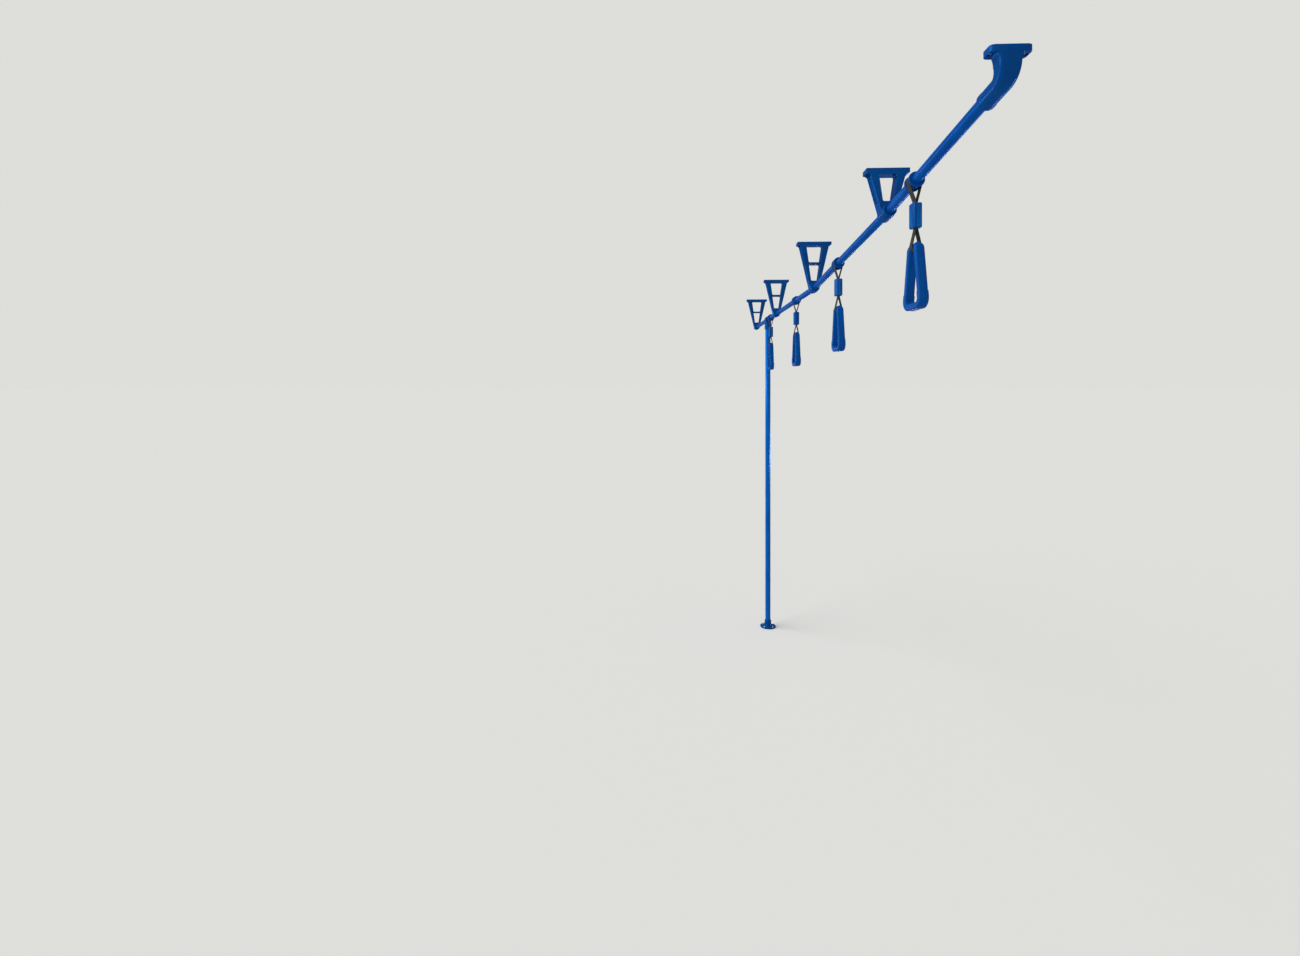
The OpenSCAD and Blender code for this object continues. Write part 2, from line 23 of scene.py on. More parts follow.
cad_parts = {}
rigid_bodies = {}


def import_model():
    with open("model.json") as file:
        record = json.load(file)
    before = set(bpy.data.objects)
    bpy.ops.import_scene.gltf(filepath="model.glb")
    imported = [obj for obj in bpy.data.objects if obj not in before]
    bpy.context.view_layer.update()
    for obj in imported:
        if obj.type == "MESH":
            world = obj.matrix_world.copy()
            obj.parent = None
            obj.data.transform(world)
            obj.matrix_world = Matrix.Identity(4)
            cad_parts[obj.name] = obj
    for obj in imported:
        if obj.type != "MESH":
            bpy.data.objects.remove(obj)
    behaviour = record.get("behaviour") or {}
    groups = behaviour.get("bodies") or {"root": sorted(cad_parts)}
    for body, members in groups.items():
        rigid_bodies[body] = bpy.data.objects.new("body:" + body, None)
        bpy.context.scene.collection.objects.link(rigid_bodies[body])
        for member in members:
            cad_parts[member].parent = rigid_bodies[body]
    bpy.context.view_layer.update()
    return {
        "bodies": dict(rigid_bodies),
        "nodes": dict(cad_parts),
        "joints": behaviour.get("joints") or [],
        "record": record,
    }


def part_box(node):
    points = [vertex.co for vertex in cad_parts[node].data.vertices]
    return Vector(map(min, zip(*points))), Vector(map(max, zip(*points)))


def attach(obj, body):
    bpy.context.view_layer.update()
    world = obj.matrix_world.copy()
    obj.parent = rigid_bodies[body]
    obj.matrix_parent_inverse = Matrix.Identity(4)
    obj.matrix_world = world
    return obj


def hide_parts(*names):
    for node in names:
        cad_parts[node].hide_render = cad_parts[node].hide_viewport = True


MM = 0.001
TURN = 2 * math.pi
UP = Vector((0, 0, 1))
DOWN = Vector((0, 0, -1))
FORWARD = Vector((1, 0, 0))
LEFT = Vector((0, 1, 0))

# In metres: vertices nearer to each other than this are one
SAME_PLACE = 1e-6

# One hanger hangs from each length of rail tube
HANGERS = 4

# The Mix node's colour inputs and output, which share their names with those of other types
MIX_UNDER, MIX_OVER, MIX_RESULT = 6, 7, 2

# How a Map Range node runs from one end of its span to the other
EASED = "SMOOTHSTEP"

log = logging.getLogger("grab_rail")

Frame = dict[str, Any]
Point2 = tuple[float, float]
Point3 = tuple[float, float, float]
Span = tuple[float, float]


class Slot(Enum):
    """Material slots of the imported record."""

    TUBE = "tube_blue"
    FITTING = "fitting_blue"
    MOULDING = "moulding_blue"
    WEBBING = "webbing_black"


class Body(Enum):
    """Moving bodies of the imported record; a hanger's carry its number."""

    RAIL = "rail"
    STRAP = "hanger_strap_{}"
    HANDLE = "hanger_handle_{}"


def linear(colour: str) -> tuple[float, float, float, float]:
    """Turn an sRGB hex colour into Blender's linear one.

    Args:
        colour: Colour as "#rrggbb".

    Returns:
        Linear red, green and blue, and full opacity.
    """
    parts = [int(colour[i : i + 2], 16) / 255 for i in (1, 3, 5)]
    red, green, blue = (
        ((c + 0.055) / 1.055) ** 2.4 if c > 0.04045 else c / 12.92 for c in parts
    )
    return red, green, blue, 1.0


def add_node(
    tree: NodeTree,
    kind: str,
    inputs: dict[str | int, object] | None = None,
    **settings: object,
) -> Node:
    """Add a node with its settings and links.

    Args:
        tree: Shader or geometry tree that takes the node.
        kind: Blender's identifier of the node.
        inputs: Value or linked socket for each input, by name or number.
        settings: Properties of the node.

    Returns:
        The node.
    """
    made = tree.nodes.new(kind)
    for name, value in settings.items():
        setattr(made, name, value)
    for key, value in (inputs or {}).items():
        if isinstance(value, NodeSocket):
            tree.links.new(value, made.inputs[key])
        else:
            made.inputs[key].default_value = value
    return made


def set_values(shader: Node, values: dict[str, object]) -> None:
    """Set what is the same all over a surface on the shader's own sockets.

    Args:
        shader: The Principled shader.
        values: Value of each socket, by name.
    """
    for name, value in values.items():
        shader.inputs[name].default_value = value


def paint(
    tree: NodeTree,
    shader: Node,
    colour: str,
    layers: Sequence[tuple[NodeSocket, str]],
) -> None:
    """Colour a surface, with further colours laid over the first.

    Args:
        tree: The material's tree.
        shader: Its Principled shader.
        colour: The first colour.
        layers: Share and colour of each further layer, from the lowest up.
    """
    under: object = linear(colour)
    for share, over in layers:
        inputs = {"Factor": share, MIX_UNDER: under, MIX_OVER: linear(over)}
        under = add_node(tree, "ShaderNodeMix", inputs, data_type="RGBA").outputs[MIX_RESULT]
    tree.links.new(under, shader.inputs["Base Color"])


def spanned(value: NodeSocket, taken: Span, given: Span) -> dict[str, object]:
    """Inputs of a Map Range node that carries a value from one span into another.

    Args:
        value: The value.
        taken: Lowest and highest value taken in.
        given: What those two become.

    Returns:
        The inputs, by name.
    """
    (low, high), (first, last) = taken, given
    return {"Value": value, "From Min": low, "From Max": high, "To Min": first, "To Max": last}


def edge_wear(tree: NodeTree, taken: Span, most: float) -> NodeSocket:
    """Find the outer edges that hands and knocks reach, by the mesh's pointiness. On the nylon the
    lighter edges are also a painted highlight.

    Args:
        tree: The material's tree.
        taken: Pointiness at which the wear starts, and at which it is full.
        most: Full share of the lightening at the edges.

    Returns:
        The wear's share.
    """
    point = add_node(tree, "ShaderNodeNewGeometry").outputs["Pointiness"]
    inputs = spanned(point, taken, (0, most))
    return add_node(tree, "ShaderNodeMapRange", inputs, interpolation_type=EASED).outputs["Result"]


@dataclass(frozen=True)
class Pattern:
    """Noise on Object coordinates, with marks of a real width in millimetres.

    Detail is the number of finer octaves, and stretch is how many times longer a mark is along X, Y
    and Z.
    """

    width: float
    detail: float
    stretch: Point3 = (1, 1, 1)

    def noise(self, tree: NodeTree) -> NodeSocket:
        """Add the noise to a material.

        Args:
            tree: The material's tree.

        Returns:
            The noise's value, from 0 to 1.
        """
        place = add_node(tree, "ShaderNodeTexCoord").outputs["Object"]
        scale = [1 / s for s in self.stretch]
        mapped = add_node(tree, "ShaderNodeMapping", {"Vector": place, "Scale": scale})
        inputs = {
            "Vector": mapped.outputs["Vector"],
            "Scale": 1 / (self.width * MM),
            "Detail": self.detail,
        }
        return add_node(tree, "ShaderNodeTexNoise", inputs).outputs["Fac"]


@dataclass(frozen=True)
class Marks(Pattern):
    """Patches, flecks or scuffs: a span of the noise, eased into the span that a finish needs."""

    taken: Span = (0.35, 0.7)
    given: Span = (0, 1)

    def share(self, tree: NodeTree) -> NodeSocket:
        """Add the marks to a material.

        Args:
            tree: The material's tree.

        Returns:
            The marks' value, within the given span.
        """
        inputs = spanned(self.noise(tree), self.taken, self.given)
        mapped = add_node(tree, "ShaderNodeMapRange", inputs, interpolation_type=EASED)
        return mapped.outputs["Result"]


@dataclass(frozen=True)
class Relief(Pattern):
    """A fine relief with a real depth in millimetres, such as orange peel or a mould's grain."""

    depth: float = 0.01

    def normal(self, tree: NodeTree, under: NodeSocket | None = None) -> NodeSocket:
        """Bump a surface by the relief.

        Args:
            tree: The material's tree.
            under: Normal of a coarser relief below this one.

        Returns:
            The bumped normal.
        """
        inputs = {"Height": self.noise(tree), "Distance": self.depth * MM, "Strength": 1.0}
        if under is not None:
            inputs["Normal"] = under
        return add_node(tree, "ShaderNodeBump", inputs).outputs["Normal"]


class Finish(ABC):
    """A real surface finish, made as one procedural material."""

    name: str
    colour: str

    def material(self) -> Material:
        """Find the finish's material, which is made on its first use.

        Returns:
            The material.
        """
        known = bpy.data.materials.get(self.name)
        if known:
            return known
        made = bpy.data.materials.new(self.name)
        made.use_nodes = True
        made.node_tree.nodes.clear()
        shader = add_node(made.node_tree, "ShaderNodeBsdfPrincipled")
        surface = {"Surface": shader.outputs["BSDF"]}
        add_node(made.node_tree, "ShaderNodeOutputMaterial", surface)
        self.dress(made.node_tree, shader)
        made.diffuse_color = linear(self.colour)
        log.info("finish %s", self.name)
        return made

    @abstractmethod
    def dress(self, tree: NodeTree, shader: Node) -> None:
        """Set the shader's values and add the finish's patterns."""


@dataclass(frozen=True)
class PowderCoat(Finish):
    """Polyester powder coat, sprayed dry on degreased metal and baked.

    It gives an even, deep colour under a half-gloss skin with a faint orange peel. Hands polish it
    in places, and knocks thin it along sharp edges, where it looks paler. Plain specular gloss
    would wash the blue out at flat angles, so it is off: a thin coat carries the highlights, and a
    small metallic share mirrors the surroundings in the coat's own tint.
    """

    name: str
    colour: str = "#0151a4"
    deep_colour: str = "#014694"
    worn_colour: str = "#2f80cc"
    gloss_colour: str = "#6ab4f0"
    drift: Marks = Marks(140, 3, taken=(0.35, 0.65))
    worn_edge: Span = (0.56, 0.66)
    flecks: Marks = Marks(3, 4, taken=(0.48, 0.66), given=(0, 0.5))
    rubs: Marks = Marks(14, 5, given=(0.20, 0.32))
    peel: Relief = Relief(6.0, 1, depth=0.010)
    ior: float = 1.5
    mirror_share: float = 0.2
    coat: float = 0.08
    coat_roughness: float = 0.16

    def dress(self, tree: NodeTree, shader: Node) -> None:
        """Add the colour's drift, the orange peel, rub marks and worn edges.

        Args:
            tree: The material's tree.
            shader: Its Principled shader.
        """
        drift = self.drift.share(tree)
        edge, flecks = edge_wear(tree, self.worn_edge, 1), self.flecks.share(tree)
        wear = add_node(tree, "ShaderNodeMath", {0: edge, 1: flecks}, operation="MULTIPLY")
        layers = [(drift, self.deep_colour), (wear.outputs[0], self.worn_colour)]
        paint(tree, shader, self.colour, layers)
        tree.links.new(self.rubs.share(tree), shader.inputs["Roughness"])
        tree.links.new(self.peel.normal(tree), shader.inputs["Normal"])
        values = {
            "IOR": self.ior,
            "Specular IOR Level": 0.0,
            "Specular Tint": linear(self.gloss_colour),
            "Metallic": self.mirror_share,
            "Coat Weight": self.coat,
            "Coat Roughness": self.coat_roughness,
        }
        set_values(shader, values)


@dataclass(frozen=True)
class MouldedNylon(Finish):
    """Glass-filled nylon, injection moulded in a spark-eroded mould and coloured right through.

    It gives a soft sheen over a fine even grain. Hands rub the grain smooth and leave fine scuffs.
    Its outer edges are drawn lighter: partly rubbed wear, partly a painted highlight along them.
    The real grain is about 0.3 mm wide, and it is drawn at 1.2 mm so that it shows. As on the
    powder coat, a thin coat carries the gloss in place of the plain specular.
    """

    name: str
    colour: str = "#014c9b"
    deep_colour: str = "#01438b"
    # Colour of the scuffs, and also of the painted highlight along the outer edges
    scuff_colour: str = "#2f8ad8"
    flow: Marks = Marks(60, 4, (1, 1, 2.5), taken=(0.35, 0.68))
    scuffs: Marks = Marks(1.6, 6, (9, 1, 2), taken=(0.66, 0.74), given=(0, 0.35))
    # Pointiness span and share of the lighter edges: partly rubbed wear, partly painted highlight
    rubbed_edge: Span = (0.56, 0.64)
    rubbed_share: float = 0.25
    polish: Marks = Marks(22, 3, given=(0.26, 0.38))
    waves: Relief = Relief(24, 1, depth=0.03)
    grain: Relief = Relief(1.2, 2, depth=0.003)
    ior: float = 1.53
    coat: float = 0.1
    coat_roughness: float = 0.24

    def dress(self, tree: NodeTree, shader: Node) -> None:
        """Add the flow of the colour, the mould's grain, scuffs and lighter outer edges.

        The lighter edges are partly rubbed wear and partly a painted highlight.

        Args:
            tree: The material's tree.
            shader: Its Principled shader.
        """
        flow, scuffs = self.flow.share(tree), self.scuffs.share(tree)
        # Lighter outer edges: partly rubbed wear, partly a painted highlight along the edges
        rubbed = edge_wear(tree, self.rubbed_edge, self.rubbed_share)
        marks = add_node(tree, "ShaderNodeMath", {0: scuffs, 1: rubbed}, operation="MAXIMUM")
        layers = [(flow, self.deep_colour), (marks.outputs[0], self.scuff_colour)]
        paint(tree, shader, self.colour, layers)
        tree.links.new(self.polish.share(tree), shader.inputs["Roughness"])
        grain = self.grain.normal(tree, self.waves.normal(tree))
        tree.links.new(grain, shader.inputs["Normal"])
        values = {
            "IOR": self.ior,
            "Specular IOR Level": 0.0,
            "Coat Weight": self.coat,
            "Coat Roughness": self.coat_roughness,
        }
        set_values(shader, values)


@dataclass(frozen=True)
class WovenWebbing(Finish):
    """Polyester webbing, dyed black and woven on a needle loom.

    It gives a matt, ribbed band with a fuzzy sheen and paler, rubbed edges. It reads the piece's UV
    map, which is in millimetres: U across the band and V along it. The real thread spacing is about
    0.8 mm, and it is drawn at 1.6 mm so that the ribs, two threads wide each, show.
    """

    name: str
    width: float
    colour: str = "#15161a"
    worn_colour: str = "#3a3c42"
    thread: float = 1.6
    rib_threads: float = 2.0
    rib_height: float = 0.22
    rib_paleness: float = 0.22
    rubbed_margin: float = 2.2
    rubbed_share: float = 0.6
    fuzz: Marks = Marks(0.7, 4, taken=(0.4, 0.75), given=(0, 0.5))

    def dress(self, tree: NodeTree, shader: Node) -> None:
        """Add the woven ribs, the colour of single threads and the rubbed edges.

        Args:
            tree: The material's tree.
            shader: Its Principled shader.
        """
        band = add_node(tree, "ShaderNodeUVMap", uv_map="UVMap").outputs["UV"]
        across, along, _ = add_node(tree, "ShaderNodeSeparateXYZ", {0: band}).outputs
        waves = []
        for place, length in ((across, self.rib_threads * self.thread), (along, self.thread)):
            inputs = {0: place, 1: TURN / length}
            angle = add_node(tree, "ShaderNodeMath", inputs, operation="MULTIPLY").outputs[0]
            wave = add_node(tree, "ShaderNodeMath", {0: angle}, operation="SINE")
            waves.append(wave.outputs[0])
        inputs = {0: waves[0], 1: waves[1]}
        crossed = add_node(tree, "ShaderNodeMath", inputs, operation="MULTIPLY").outputs[0]
        inputs = spanned(crossed, (-1, 1), (0, 1))
        weave = add_node(tree, "ShaderNodeMapRange", inputs, interpolation_type=EASED).outputs[0]
        offset = add_node(tree, "ShaderNodeMath", {0: across}, operation="ABSOLUTE").outputs[0]
        margin = (self.width / 2 - self.rubbed_margin, self.width / 2)
        inputs = spanned(offset, margin, (0, self.rubbed_share))
        edge = add_node(tree, "ShaderNodeMapRange", inputs, interpolation_type=EASED).outputs[0]
        inputs = {0: edge, 1: self.fuzz.share(tree)}
        pale = add_node(tree, "ShaderNodeMath", inputs, operation="MULTIPLY").outputs[0]
        inputs = {0: weave, 1: self.rib_paleness, 2: pale}
        lifted = add_node(tree, "ShaderNodeMath", inputs, operation="MULTIPLY_ADD").outputs[0]
        paint(tree, shader, self.colour, [(lifted, self.worn_colour)])
        inputs = {"Height": weave, "Distance": self.rib_height * MM, "Strength": 1.0}
        ribs = add_node(tree, "ShaderNodeBump", inputs).outputs["Normal"]
        tree.links.new(ribs, shader.inputs["Normal"])
        values = {
            "Roughness": 0.78,
            "Sheen Weight": 0.04,
            "Sheen Roughness": 0.5,
            "IOR": 1.5,
            "Specular IOR Level": 0.2,
        }
        set_values(shader, values)


@dataclass(frozen=True)
class PlatedSteel(Finish):
    """Steel, cold headed and plated with bright zinc.

    It gives a clean grey gloss with faint swirls from the tumbling barrel.
    """

    name: str
    colour: str = "#b9bcc0"
    swirls: Marks = Marks(1.5, 4, given=(0.22, 0.42))

    def dress(self, tree: NodeTree, shader: Node) -> None:
        """Add the tumbled swirls.

        Args:
            tree: The material's tree.
            shader: Its Principled shader.
        """
        tree.links.new(self.swirls.share(tree), shader.inputs["Roughness"])
        set_values(shader, {"Base Color": linear(self.colour), "Metallic": 1.0})


@dataclass(frozen=True)
class MattFloor(Finish):
    """Pale studio floor of matt vinyl, calendered smooth, which keeps soft shadows."""

    name: str = "studio_floor"
    colour: str = "#e9e9e6"
    roughness: float = 0.9

    def dress(self, tree: NodeTree, shader: Node) -> None:
        """Set a plain matt surface.

        Args:
            tree: The material's tree, which gets no pattern.
            shader: Its Principled shader.
        """
        values = {
            "Base Color": linear(self.colour),
            "Roughness": self.roughness,
            "Specular IOR Level": 0.0,
        }
        set_values(shader, values)


# Hands slide along the rail, so its rub marks are drawn out along X; the pole's coat shares them
TUBE_RUBS = Marks(14, 5, (6, 1, 1), given=(0.20, 0.32))
TUBE_COAT = PowderCoat("powder_coated_steel_tube", rubs=TUBE_RUBS)
# The pole has the rail's coat; its lighter colours are painted light, standing in for light on its
# lit side
POLE_COAT_PAINTED_LIGHTER = PowderCoat(
    "powder_coated_steel_pole_painted_lighter",
    colour="#0460b8",
    deep_colour="#0355a8",
    worn_colour="#3a8cd6",
    rubs=TUBE_RUBS,
)
FITTING_COAT = PowderCoat(
    "powder_coated_cast_aluminium",
    colour="#014a90",
    deep_colour="#014082",
    rubs=Marks(14, 5, given=(0.24, 0.36)),
    peel=Relief(4.5, 1, depth=0.012),
)
NYLON = MouldedNylon("moulded_blue_nylon")
SCREW_STEEL = PlatedSteel("zinc_plated_screw_steel")
FLOOR = MattFloor()


def finished(
    piece: Object,
    finish: Finish,
    body: str,
    nodes: Sequence[str] = (),
) -> Object:
    """Give a piece its finish and its body, and hide the CAD nodes that it stands for.

    Args:
        piece: The finished mesh object.
        finish: Its surface.
        body: The body that it rides on.
        nodes: CAD nodes that it stands for.

    Returns:
        The piece.
    """
    piece.data.materials.clear()
    piece.data.materials.append(finish.material())
    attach(piece, body)
    if nodes:
        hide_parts(*nodes)
    log.info("piece %s on %s, %d faces", piece.name, body, len(piece.data.polygons))
    return piece


def linked(name: str, data: ID) -> Object:
    """Make an object and link it to the scene.

    Args:
        name: The object's name.
        data: Its mesh, lamp or camera.

    Returns:
        The object.
    """
    made = bpy.data.objects.new(name, data)
    bpy.context.scene.collection.objects.link(made)
    return made


def shade(mesh: Mesh, sharp_angle: float = 35) -> None:
    """Shade a mesh smooth, apart from edges sharper than an angle in degrees."""
    mesh.shade_smooth()
    mesh.set_sharp_from_angle(angle=math.radians(sharp_angle))


def write_outward(work: bmesh.types.BMesh, mesh: Mesh) -> None:
    """Turn a closed shape's faces outwards and write it into a mesh.

    Args:
        work: The shape, which is freed.
        mesh: The mesh that takes it.
    """
    bmesh.ops.recalc_face_normals(work, faces=work.faces)
    work.to_mesh(mesh)
    work.free()


def skin(
    name: str,
    rings: Sequence[Sequence[Vector]],
    joined_ends: bool = False,
    uv: Callable[[int, int], Point2] | None = None,
) -> Object:
    """Make a closed mesh over rings of points.

    Args:
        name: The object's name.
        rings: Rings with the same number of points each, in order.
        joined_ends: Whether the last ring joins the first; if not, both ends are capped.
        uv: Gives U and V for a ring's number and a point's number, each one past its last at a
            seam.

    Returns:
        The object.
    """
    count = len(rings[0])
    work = bmesh.new()
    verts = [[work.verts.new(p) for p in ring] for ring in rings]
    layer = work.loops.layers.uv.new("UVMap") if uv else None
    spans = len(rings) if joined_ends else len(rings) - 1
    for r in range(spans):
        for p in range(count):
            corners = [(r, p), (r, p + 1), (r + 1, p + 1), (r + 1, p)]
            face = work.faces.new([verts[i % len(rings)][j % count] for i, j in corners])
            if layer:
                for loop, (i, j) in zip(face.loops, corners):
                    loop[layer].uv = uv(i, j)
    if not joined_ends:
        work.faces.new(list(reversed(verts[0])))
        work.faces.new(verts[-1])
    mesh = bpy.data.meshes.new(name)
    write_outward(work, mesh)
    shade(mesh)
    return linked(name, mesh)


def rounded(corners: Sequence[Point3], steps: int) -> list[Point2]:
    """Round the corners of a closed flat outline.

    Args:
        corners: X, Y and corner radius of each corner, in order.
        steps: Steps of each corner's arc.

    Returns:
        The outline's points, one more than the steps at each corner.
    """
    points = []
    for i, (x, y, radius) in enumerate(corners):
        corner = Vector((x, y))
        back = (Vector(corners[i - 1][:2]) - corner).normalized()
        ahead = (Vector(corners[(i + 1) % len(corners)][:2]) - corner).normalized()
        half = back.angle(ahead) / 2
        reach = radius / math.tan(half)
        middle = corner + (back + ahead).normalized() * radius / math.sin(half)
        start = corner + back * reach - middle
        sweep = math.pi - 2 * half
        side = 1 if back.x * ahead.y - back.y * ahead.x < 0 else -1
        for s in range(steps + 1):
            a = side * sweep * s / steps
            turned_x = start.x * math.cos(a) - start.y * math.sin(a)
            turned_y = start.x * math.sin(a) + start.y * math.cos(a)
            points.append((middle.x + turned_x, middle.y + turned_y))
    return points


def applied(piece: Object, name: str) -> Object:
    """Turn an object with modifiers into a plain mesh object, and remove the first one.

    Args:
        piece: The object with its modifiers.
        name: Name of the new object.

    Returns:
        The new object.
    """
    graph = bpy.context.evaluated_depsgraph_get()
    mesh = bpy.data.meshes.new_from_object(piece.evaluated_get(graph), depsgraph=graph)
    old = piece.data
    bpy.data.objects.remove(piece)
    bpy.data.meshes.remove(old)
    mesh.name = name
    return linked(name, mesh)


def merged_copy(node: Object, name: str) -> Object:
    """Copy a CAD node and join its loose triangles into one closed mesh.

    Args:
        node: The CAD node's object, which stays as it is.
        name: The copy's name.

    Returns:
        The copy.
    """
    work = bmesh.new()
    work.from_mesh(node.data)
    bmesh.ops.remove_doubles(work, verts=work.verts, dist=SAME_PLACE)
    mesh = bpy.data.meshes.new(name)
    write_outward(work, mesh)
    mesh.materials.clear()
    return linked(name, mesh)


def new_tree(name: str, inputs: Sequence[tuple[str, str]]) -> tuple[NodeTree, Node]:
    """Start a Geometry Nodes tree with named inputs.

    Args:
        name: The tree's name.
        inputs: Name and socket type of each input after the geometry.

    Returns:
        The tree and its Group Input node.
    """
    tree = bpy.data.node_groups.new(name, "GeometryNodeTree")
    tree.interface.new_socket("Geometry", in_out="INPUT", socket_type="NodeSocketGeometry")
    for label, kind in inputs:
        tree.interface.new_socket(label, in_out="INPUT", socket_type=kind)
    tree.interface.new_socket("Geometry", in_out="OUTPUT", socket_type="NodeSocketGeometry")
    return tree, add_node(tree, "NodeGroupInput")


def end_tree(tree: NodeTree, geometry: NodeSocket, finish: NodeSocket) -> None:
    """End a tree in real geometry with its material.

    Args:
        tree: The Geometry Nodes tree.
        geometry: What it makes.
        finish: The material's socket.
    """
    real = add_node(tree, "GeometryNodeRealizeInstances", {"Geometry": geometry})
    inputs = {"Geometry": real.outputs["Geometry"], "Material": finish}
    dressed = add_node(tree, "GeometryNodeSetMaterial", inputs)
    add_node(tree, "NodeGroupOutput", {"Geometry": dressed.outputs["Geometry"]})


def grown(
    tree: NodeTree, name: str, values: dict[str, object], points: Sequence[Vector] = ()
) -> Object:
    """Run a Geometry Nodes tree on points and keep what it makes as a plain mesh.

    Args:
        tree: The tree.
        name: Name of the new object.
        values: Value of each named input.
        points: Points that the tree gets as its geometry.

    Returns:
        The new object.
    """
    mesh = bpy.data.meshes.new(name)
    mesh.from_pydata(list(points), [], [])
    carrier = linked(name, mesh)
    modifier = carrier.modifiers.new(name, "NODES")
    modifier.node_group = tree
    for item in tree.interface.items_tree:
        if item.in_out == "INPUT" and item.name in values:
            modifier[item.identifier] = values[item.name]
    return applied(carrier, name)


def tube_tree() -> NodeTree:
    """Build the tree of a tube along Z: its wall's section, turned round the tube's axis.

    Returns:
        The tree, with Length, Radius, Wall, Edge, Sides and Finish as inputs.
    """
    inputs = [(label, "NodeSocketFloat") for label in ("Length", "Radius", "Wall", "Edge")]
    inputs += [("Sides", "NodeSocketInt"), ("Finish", "NodeSocketMaterial")]
    tree, given = new_tree("tube", inputs)
    size = given.outputs
    section = add_node(
        tree,
        "GeometryNodeCurvePrimitiveQuadrilateral",
        {"Width": size["Wall"], "Height": size["Length"]},
        mode="RECTANGLE",
    )
    profile = add_node(
        tree,
        "GeometryNodeFilletCurve",
        {"Curve": section.outputs["Curve"], "Radius": size["Edge"], "Count": 3},
        mode="POLY",
    )
    half = add_node(tree, "ShaderNodeMath", {0: size["Wall"], 1: 0.5}, operation="MULTIPLY")
    inputs = {0: size["Radius"], 1: half.outputs[0]}
    middle = add_node(tree, "ShaderNodeMath", inputs, operation="SUBTRACT")
    path = add_node(
        tree,
        "GeometryNodeCurvePrimitiveCircle",
        {"Resolution": size["Sides"], "Radius": middle.outputs[0]},
        mode="RADIUS",
    )
    wall = add_node(
        tree,
        "GeometryNodeCurveToMesh",
        {"Curve": path.outputs["Curve"], "Profile Curve": profile.outputs["Curve"]},
    )
    smoothed = add_node(tree, "GeometryNodeSetShadeSmooth", {"Geometry": wall.outputs["Mesh"]})
    end_tree(tree, smoothed.outputs["Geometry"], size["Finish"])
    return tree


def screw_tree() -> NodeTree:
    """Build the tree that sets a screw head at each point, turned at random.

    Returns:
        The tree, with Head, Tilt, Seed and Finish as inputs.
    """
    inputs = [
        ("Head", "NodeSocketObject"),
        ("Tilt", "NodeSocketFloat"),
        ("Seed", "NodeSocketInt"),
        ("Finish", "NodeSocketMaterial"),
    ]
    tree, node = new_tree("screw_heads", inputs)
    given = node.outputs
    head = add_node(tree, "GeometryNodeObjectInfo", {"Object": given["Head"]})
    spin = add_node(
        tree,
        "FunctionNodeRandomValue",
        {"Seed": given["Seed"], 2: 0.0, 3: TURN},
        data_type="FLOAT",
    )
    turned = add_node(tree, "ShaderNodeCombineXYZ", {"X": given["Tilt"], "Z": spin.outputs[1]})
    placed = add_node(
        tree,
        "GeometryNodeInstanceOnPoints",
        {
            "Points": given["Geometry"],
            "Instance": head.outputs["Geometry"],
            "Rotation": turned.outputs["Vector"],
        },
    )
    end_tree(tree, placed.outputs["Instances"], given["Finish"])
    return tree


def from_axis(origin: Vector, axis: Vector) -> Matrix:
    """Matrix that puts Z on an axis and Y near the bus's left.

    Args:
        origin: Where its origin goes, in metres.
        axis: Direction that its Z gets.

    Returns:
        The matrix.
    """
    z = axis.normalized()
    x = LEFT.cross(z).normalized()
    y = z.cross(x)
    turned = Matrix((x, y, z)).transposed().to_4x4()
    return Matrix.Translation(origin) @ turned


def turned_to(way: Vector) -> Euler:
    """Rotation that points a lamp or a camera along a way."""
    return way.to_track_quat("-Z", "Y").to_euler()


def hinge(frame: Frame, name: str) -> tuple[Vector, Vector]:
    """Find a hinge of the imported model.

    Args:
        frame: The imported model.
        name: The joint's name.

    Returns:
        Its place in metres, and its axis, pointing forward.
    """
    joint = next(j for j in frame["joints"] if j["name"] == name)
    return Vector(joint["pos_m"]), Vector(joint["axis"]).normalized()


@dataclass(frozen=True)
class SteelTube:
    """Round steel tube, cut square and eased at its ends."""

    diameter: float
    sides: int
    coat: PowderCoat
    wall: float = 2.0
    eased_edge: float = 0.5
    crease_angle: float = 20.0

    def make(self, tree: NodeTree, name: str, start: Vector, end: Vector) -> Object:
        """Make one length of it.

        Args:
            tree: The tube's tree.
            name: The piece's name.
            start: Middle of its first end, in metres.
            end: Middle of its other end.

        Returns:
            The tube.
        """
        sizes = {
            "Length": (end - start).length,
            "Radius": self.diameter / 2 * MM,
            "Wall": self.wall * MM,
            "Edge": self.eased_edge * MM,
            "Sides": self.sides,
            "Finish": self.coat.material(),
        }
        made = grown(tree, name, sizes)
        made.data.transform(from_axis((start + end) / 2, end - start))
        work = bmesh.new()
        work.from_mesh(made.data)
        write_outward(work, made.data)
        shade(made.data, self.crease_angle)
        return made


@dataclass(frozen=True)
class RailTubes:
    """The steel tubes of the rail, each held in the fittings at its ends."""

    tube: SteelTube = SteelTube(25.0, 72, TUBE_COAT)

    def build(self, frame: Frame, tree: NodeTree) -> None:
        """Grow each tube along the line of the hinge that its hanger swings on.

        Args:
            frame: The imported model.
            tree: The tube's tree.
        """
        for number in range(1, HANGERS + 1):
            anchor, axis = hinge(frame, f"strap_swing_{number}")
            low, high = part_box(f"rail_tube_{number}")
            slope = math.asin(abs(axis.z))
            inset = self.tube.diameter / 2 * MM * math.sin(slope)
            start = anchor + axis * ((low[0] + inset - anchor.x) / axis.x)
            end = anchor + axis * ((high[0] - inset - anchor.x) / axis.x)
            made = self.tube.make(tree, f"steel_tube_{number}", start, end)
            finished(made, self.tube.coat, Body.RAIL.value, [f"rail_tube_{number}"])


